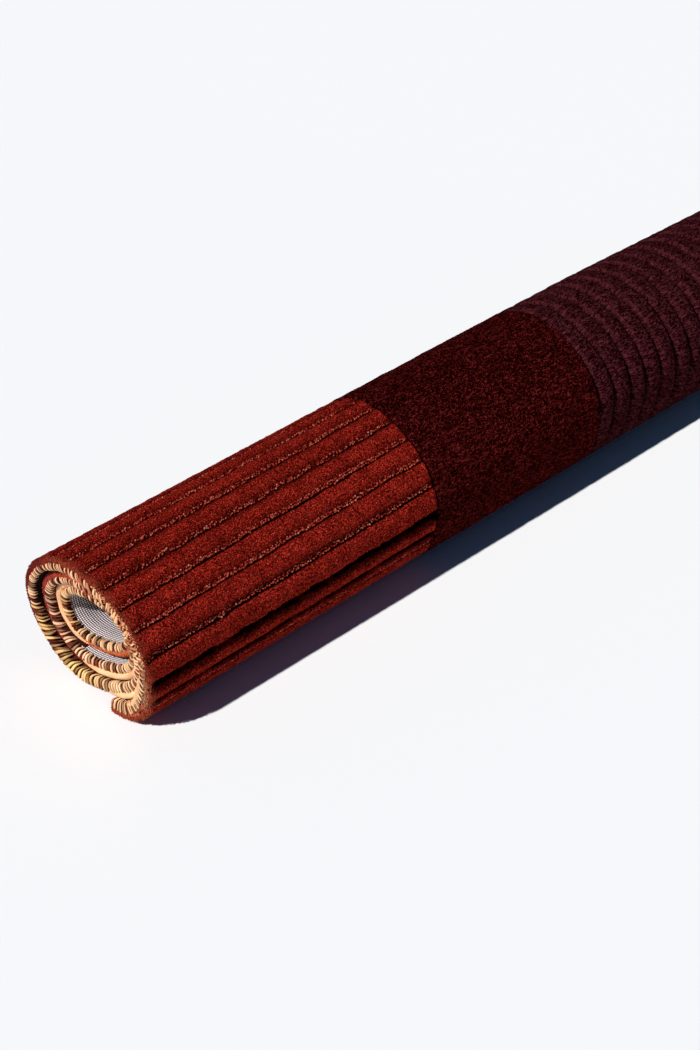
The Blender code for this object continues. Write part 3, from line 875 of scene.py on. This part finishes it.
def makeWraps(name, farEnd, material):
    master, faces = makeStrand(yarn["sides"], yarn["steps"])
    rng = np.random.default_rng(7 + farEnd)
    reach = (1 - master[:, 2]) / 2
    around = np.arctan2(master[:, 1], master[:, 0])
    # the strand comes out of the pile, goes round the edge and runs in over the canvas
    turned = ramp(reach, yarn["turnShare"])
    angle = math.radians(yarn["arriveAngle"]) - math.radians(yarn["turnAngle"]) * turned
    run = ramp(reach - yarn["turnShare"], 1 - yarn["turnShare"])
    bulge = np.sign(np.cos(angle)) * np.abs(np.cos(angle)) ** np.where(angle > 0, *yarn["bulge"])
    slim = yarn["tip"] + yarn["belly"] * np.clip(np.sin(math.pi * reach), 0, 1) ** yarn["bellyPower"]
    copies, colours = [], []
    at, middle, last = yarn["from"], 0.0, 0.0
    while at < roll["rugLength"] - yarn["stopShort"]:
        pitch = np.interp(at, yarn["pitchFrom"], yarn["pitch"])
        if at > last:
            # strands come in small clumps whose ends draw together
            members = rng.integers(*yarn["clump"])
            middle = at + (members - 1) * pitch / 2
            last = at + (members - 0.5) * pitch
        out, inward, overCanvas, lean, wide = (valueAt(at, zones, column) for column in range(1, 6))
        loose = np.interp(at, yarn["looseFrom"], yarn["loose"])
        centre = at + rng.normal(0, yarn["unevenPlace"])
        out = out + rng.uniform(*yarn["looseReach"]) * loose
        up = np.where(angle > 0, out - yarn["middleN"], inward)
        uneven = yarn["unevenThick"] + yarn["looseThick"] * loose
        size = slim * np.clip(1 + rng.normal(0, uneven), *yarn["sizes"])
        thick = yarn["thick"] * size * np.cos(around)
        width = yarn["halfWidth"] + thick + rng.uniform(*yarn["looseWidth"]) * loose
        x = yarn["middleX"] - width * bulge + overCanvas * run
        n = yarn["middleN"] + (up + thick) * np.sin(angle) + yarn["dip"] * run
        lean = lean + rng.normal(0, yarn["unevenLean"]) * loose
        along = centre + lean * (0.5 - reach) + wide * size * np.sin(around)
        along = along + yarn["clumpPull"] * (middle - at) * (1 - 2 * reach) ** 2
        if farEnd:
            x = roll["length"] - x
        copies.append(np.stack([x, along, n], axis=1))
        base, other = colourAt(at, zones, 6), colourAt(at, zones, 7)
        if rng.random() < valueAt(at, zones, 8):
            base, other = other, base
        base = base * np.clip(1 + rng.normal(0, yarn["unevenShade"]), *yarn["shades"])
        # the dye changes along a strand, and painted shade darkens its sides
        waves = np.sin(reach * yarn["dyeWaves"] + rng.uniform(0, 6.3))
        mixed = np.clip(yarn["dyed"] + yarn["dyeSwing"] * waves, 0, 1)[:, None] * yarn["darker"]
        lit = atLeast(yarn["sideShade"], np.clip(np.cos(around) * yarn["sideGain"], 0, 1))[:, None]
        colours.append((base * (1 - mixed) + other * mixed) * lit)
        at += pitch
    wraps = joinCopies(name, copies, faces, colours)
    under = [layTube(run, shape, farEnd) for shape in (core, shadowSheet) for run in shape["runs"]]
    piece = joinPieces(name, [wraps] + under)
    return finishPiece(piece, material)


def makeBands(name, farEnd, material):
    piece = joinPieces(name, [layTube(run, band, farEnd) for run in band["runs"]])
    return finishPiece(piece, material)


# loose tufts of pile and yarn along the rug's cut edges
tufts = {"spread": (0.7, 1.4), "unevenLean": 0.28, "unevenShade": (0.8, 1.2), "footShade": 0.45,
         "tipShade": 0.75}

# from, to, count, lowest and highest place across the layer, shortest, longest, thickness, lean, two colours
nearTuftRows = [
    (0.001, 0.034, 300, -0.0004, 0.0056, 0.0012, 0.0026, 0.0006,
     (-0.8, -0.2, 0.25), (0.62, 0.13, 0.06), (0.32, 0.04, 0.02)),
    (0.03, 0.11, 460, 0.0, 0.006, 0.0012, 0.0026, 0.0006,
     (-0.7, 0.15, 0.4), (0.6, 0.13, 0.06), (0.32, 0.04, 0.02)),
    (0.11, 0.27, 800, 0.0024, 0.006, 0.001, 0.0022, 0.0006,
     (-0.7, 0.25, 0.5), (0.4, 0.08, 0.036), (0.24, 0.024, 0.013)),
    (0.068, 0.125, 260, -0.003, 0.002, 0.003, 0.006, 0.0005,
     (-0.25, -0.8, 0.4), (0.95, 0.56, 0.32), (0.5, 0.14, 0.07)),
    (0.12, 0.205, 130, 0.0, 0.004, 0.0022, 0.0038, 0.0008,
     (-0.5, 0.7, 0.4), (0.98, 0.54, 0.3), (0.8, 0.3, 0.15)),
    (0.26, 0.385, 300, 0.001, 0.006, 0.0008, 0.0015, 0.0005,
     (-0.8, 0.0, 0.5), (0.18, 0.024, 0.02), (0.12, 0.014, 0.012)),
    (0.385, 0.5, 160, 0.001, 0.0036, 0.001, 0.0024, 0.0005,
     (-0.6, 0.0, 0.6), (0.98, 0.66, 0.34), (0.95, 0.56, 0.28)),
    (0.58, 0.66, 260, 0.0005, 0.005, 0.002, 0.0036, 0.0006,
     (-0.6, 0.5, 0.5), (0.9, 0.42, 0.22), (0.3, 0.06, 0.03)),
    (0.64, 0.8, 340, 0.0005, 0.0056, 0.0008, 0.0018, 0.0005,
     (-0.9, 0.0, 0.3), (0.48, 0.075, 0.04), (0.26, 0.03, 0.02)),
    (1.08, 1.198, 260, 0.0005, 0.0056, 0.0008, 0.0018, 0.0005,
     (-0.9, 0.0, 0.3), (0.85, 0.21, 0.07), (0.6, 0.1, 0.035)),
]

farTuftRows = [
    (0.001, 0.47, 1400, 0.0018, 0.0062, 0.0012, 0.0026, 0.0005,
     (-0.7, 0.0, 0.5), (0.09, 0.016, 0.024), (0.04, 0.004, 0.008)),
]


def makeTufts(name, rows, farEnd, material):
    pick([])
    bpy.ops.mesh.primitive_cone_add(vertices=3, radius1=1, radius2=0, depth=2, end_fill_type="NGON")
    master, faces = takeShape()
    rng = np.random.default_rng(31 + farEnd)
    height = (master[:, 2] + 1) / 2
    copies, colours = [], []
    for start, end, count, low, high, shortest, longest, radius, leans, light, dark in rows:
        for _ in range(count):
            n = rng.uniform(low, high)
            s = rng.uniform(start, end)
            # the pile's edge is rounded, so higher tufts stand further in
            drop = np.interp(s, pile["edgeFrom"], pile["edgeDrop"])
            inset = np.clip((n - roll["halfThickness"] + drop) / drop, 0, 1)
            inward = np.interp(s, pile["edgeFrom"], pile["edgeRound"]) * (1 - (1 - inset) ** 0.45)
            x = pile["edge"] + 0.0003 + inward
            toward = leans + rng.normal(0, tufts["unevenLean"], 3) - np.array([0, 0.6 * (s < 0.004), 0])
            toward = toward / np.linalg.norm(toward)
            side = np.cross(toward, [0, 1, 0])
            side = side / np.linalg.norm(side)
            other = np.cross(toward, side)
            spread = radius * rng.uniform(*tufts["spread"]) * (master[:, :1] * side + master[:, 1:2] * other)
            points = np.array([x, s, n]) + spread + rng.uniform(shortest, longest) * height[:, None] * toward
            if farEnd:
                points[:, 0] = roll["length"] - points[:, 0]
            copies.append(points)
            share = rng.uniform(0, 1)
            colour = np.array(light) * share + np.array(dark) * (1 - share)
            colour = colour * rng.uniform(*tufts["unevenShade"])
            # painted shade darkens each tuft towards its foot and lightens it towards the tip
            colours.append(colour * (tufts["footShade"] + tufts["tipShade"] * height)[:, None])
    piece = joinCopies(name, copies, faces, colours)
    return finishPiece(piece, material)


# beads of tuft ends on the ledge of every groove but the shadowed ones; rows are place on the ledge and share
# of places filled
beads = {"spacing": 0.0018, "inset": 0.004, "rows": [(-0.0001, 0.92), (0.002, 0.66)], "softShare": 0.8,
         "size": (0.001, 0.00095, 0.001), "unevenSize": (0.7, 1.25), "unevenPlace": 0.0005,
         "sink": 0.0033, "unevenSink": 0.0003, "footShade": 0.55,
         "colours": [(0.48, 0.076, 0.05), (0.36, 0.037, 0.022), (0.21, 0.013, 0.008), (0.52, 0.16, 0.105)],
         "shares": [0.34, 0.36, 0.2, 0.1]}


def makeBeads(material):
    pick([])
    bpy.ops.mesh.primitive_ico_sphere_add(subdivisions=1, radius=1)
    master, faces = takeShape()
    rng = np.random.default_rng(21)
    # painted shade darkens the underside of every bead
    lit = atLeast(beads["footShade"], np.clip(master[:, 2] + 0.3, 0, 1))[:, None]
    copies, colours = [], []
    for index, (groove, widened) in enumerate(ribGrooves()):
        if index in rust["shadowedGrooves"]:
            continue
        n = roll["halfThickness"] - beads["sink"] * (0.7 + 0.3 * widened)
        filled = beads["softShare"] if index >= rust["softFrom"] else 1
        for offset, share in beads["rows"]:
            for x in np.arange(beads["inset"], roll["rustEnd"] - beads["inset"], beads["spacing"]):
                if rng.random() > share * filled:
                    continue
                size = rng.uniform(*beads["unevenSize"])
                s = groove + offset * widened + grooveWander(x, index)
                uneven = rng.normal(0, (beads["unevenPlace"], beads["unevenPlace"], beads["unevenSink"]))
                copies.append(np.array([x, s, n]) + uneven + master * np.array(beads["size"]) * size)
                colour = np.array(beads["colours"][rng.choice(len(beads["colours"]), p=beads["shares"])])
                colours.append(colour * lit)
    piece = joinCopies("grooveBeads", copies, faces, colours)
    return finishPiece(piece, material)


canvasBacking = makeCanvas()
rustPile = makeRustPile()
oxbloodPile = makeOxbloodPile()
plumPile = makePlumPile()
finishes = [bpy.data.materials[name] for name in ("rustPile", "oxbloodPile", "plumPile")]
innerRust = makeInnerPile("innerRustPile", pile["edge"], roll["rustEnd"], finishes[0])
innerOxblood = makeInnerPile("innerOxbloodPile", roll["rustEnd"], roll["hoopStart"], finishes[1])
innerPlum = makeInnerPile("innerPlumPile", roll["hoopStart"], roll["length"] - pile["edge"], finishes[2])
print("pile made")
overcast = yarnMaterial()
nearWraps = makeWraps("nearWraps", 0, overcast)
farWraps = makeWraps("farWraps", 1, overcast)
nearBand = makeBands("nearBand", 0, overcast)
farBand = makeBands("farBand", 1, overcast)
grooveBeads = makeBeads(overcast)
nearTufts = makeTufts("nearTufts", nearTuftRows, 0, overcast)
farTufts = makeTufts("farTufts", farTuftRows, 1, overcast)
print("yarn and beads made")

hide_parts("rug")
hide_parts("near_binding")
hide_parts("far_binding")

# floor, light and camera; lights are where the light comes from, strength and angle

studio = {"floorSize": 160, "floorColour": (0.868, 0.857, 0.84), "floor": {"roughness": 0.9, "gloss": 0.1},
          "lights": {"keyLight": ((-0.667, 0.045, 0.742), 4.45, 1.6),
                     "fillLight": ((0.25, -0.97, 0.01), 0.65, 3.0)},
          "lightDistance": 4, "skyColour": (0.12, 0.455, 1.0), "skyStrength": 0.09,
          "eye": (-1.375451, -1.297294, 1.4288), "ahead": (0.53, 0.5762, -0.6221),
          "right": (0.736, -0.677, 0.0), "lens": 77.41, "sensor": 36, "clipStart": 0.05}

pick([])
bpy.ops.mesh.primitive_plane_add(size=studio["floorSize"], location=(0, 0, -0.0002))
floor = bpy.context.object
floor.name = "floor"
bpy.ops.object.transform_apply(location=True)
paleFloor, floorTree, floorShader = newMaterial("paleFloor", studio["floor"])
feed(floorTree, floorShader.inputs["Base Color"], studio["floorColour"])
floor.data.materials.append(paleFloor)

for name, (place, strength, angle) in studio["lights"].items():
    bpy.ops.object.light_add(type="SUN", location=Vector(place) * studio["lightDistance"])
    light = bpy.context.object
    light.name = name
    light.data.energy = strength
    light.data.angle = math.radians(angle)
    light.rotation_euler = Vector(place).to_track_quat("Z", "Y").to_euler()
world = bpy.data.worlds.new("studio")
world.use_nodes = True
sky = world.node_tree.nodes["Background"]
sky.inputs["Color"].default_value = (*studio["skyColour"], 1)
sky.inputs["Strength"].default_value = studio["skyStrength"]
bpy.context.scene.world = world

camera = bpy.data.objects.new("camera", bpy.data.cameras.new("camera"))
bpy.context.scene.collection.objects.link(camera)
ahead = Vector(studio["ahead"]).normalized()
right = Vector(studio["right"]).normalized()
up = right.cross(ahead)
camera.matrix_world = Matrix.Translation(studio["eye"]) @ Matrix((right, up, -ahead)).transposed().to_4x4()
camera.data.lens = studio["lens"]
camera.data.sensor_width = studio["sensor"]
camera.data.clip_start = studio["clipStart"]
bpy.context.scene.camera = camera
bpy.context.scene.view_settings.view_transform = "Standard"
print("floor, light and camera set")
